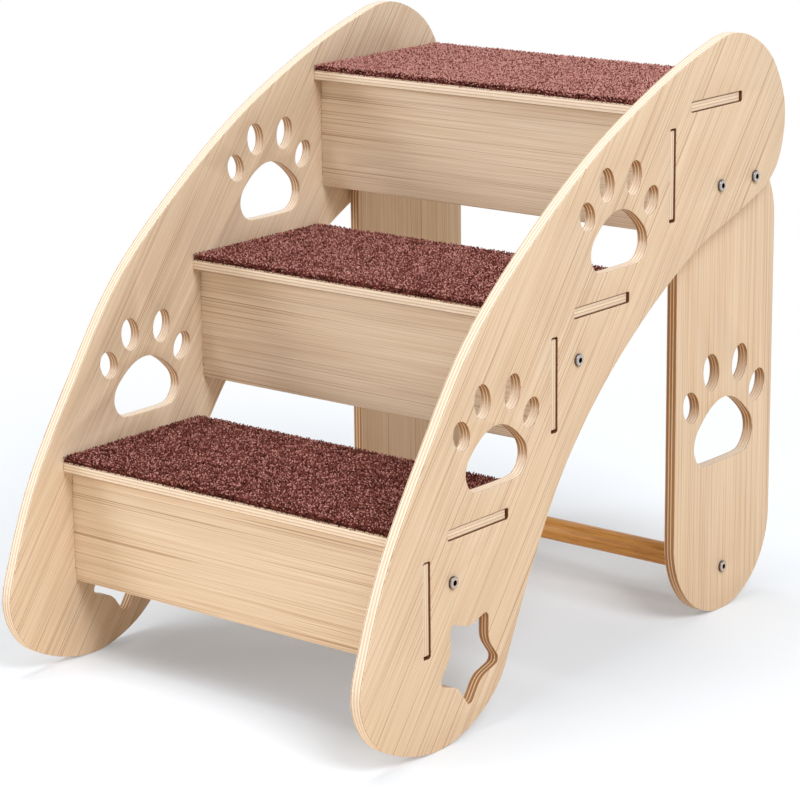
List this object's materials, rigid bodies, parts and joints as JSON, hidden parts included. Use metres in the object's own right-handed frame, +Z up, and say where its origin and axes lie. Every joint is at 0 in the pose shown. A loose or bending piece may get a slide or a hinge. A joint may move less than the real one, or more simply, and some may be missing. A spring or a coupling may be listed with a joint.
{
  "type": "pet stairs",
  "caption": "Carpeted pet stairs of interlocking plywood boards, with curved side panels, paw and star cut-outs and bolted rear legs.",
  "frame": {"origin": "on the floor, under the middle of the width and of the whole depth", "axes": "+Z up; +Y from the bottom step towards the rear legs, the way a pet climbs; +X to the right of a pet that climbs"},
  "size_m": [0.383, 0.578, 0.503],
  "materials": {
    "panel_plywood": "pale ash-faced plywood with a satin clear lacquer, grain running up the slope, striped cut edges",
    "board_plywood": "pale ash-faced plywood with a satin clear lacquer, grain running across the stairs",
    "leg_plywood": "pale ash-faced plywood with a satin clear lacquer, upright grain",
    "dowel_wood": "reddish-brown round hardwood rod with a satin lacquer",
    "carpet": "short dense maroon loop pile with paler flecks",
    "bolt_steel": "zinc-plated, slightly worn",
    "insert_zinc": "die-cast zinc, dull"
  },
  "bodies": {
    "root": {"left_side_panel": "panel_plywood", "right_side_panel": "panel_plywood", "bottom_tread": "board_plywood", "middle_tread": "board_plywood", "top_tread": "board_plywood", "bottom_riser": "board_plywood", "middle_riser": "board_plywood", "top_riser": "board_plywood", "bottom_carpet_pad": "carpet", "middle_carpet_pad": "carpet", "top_carpet_pad": "carpet", "left_rear_leg": "leg_plywood", "right_rear_leg": "leg_plywood", "front_crossbar": "dowel_wood", "middle_crossbar": "dowel_wood", "leg_crossbar": "dowel_wood", "left_leg_top_bolts": "bolt_steel", "right_leg_top_bolts": "bolt_steel", "left_front_crossbar_bolt": "bolt_steel", "right_front_crossbar_bolt": "bolt_steel", "left_middle_crossbar_bolt": "bolt_steel", "right_middle_crossbar_bolt": "bolt_steel", "left_leg_crossbar_bolt": "bolt_steel", "right_leg_crossbar_bolt": "bolt_steel", "front_crossbar_inserts": "insert_zinc", "middle_crossbar_inserts": "insert_zinc", "leg_crossbar_inserts": "insert_zinc", "left_leg_flanged_inserts": "insert_zinc", "right_leg_flanged_inserts": "insert_zinc"}
  },
  "joints": []
}
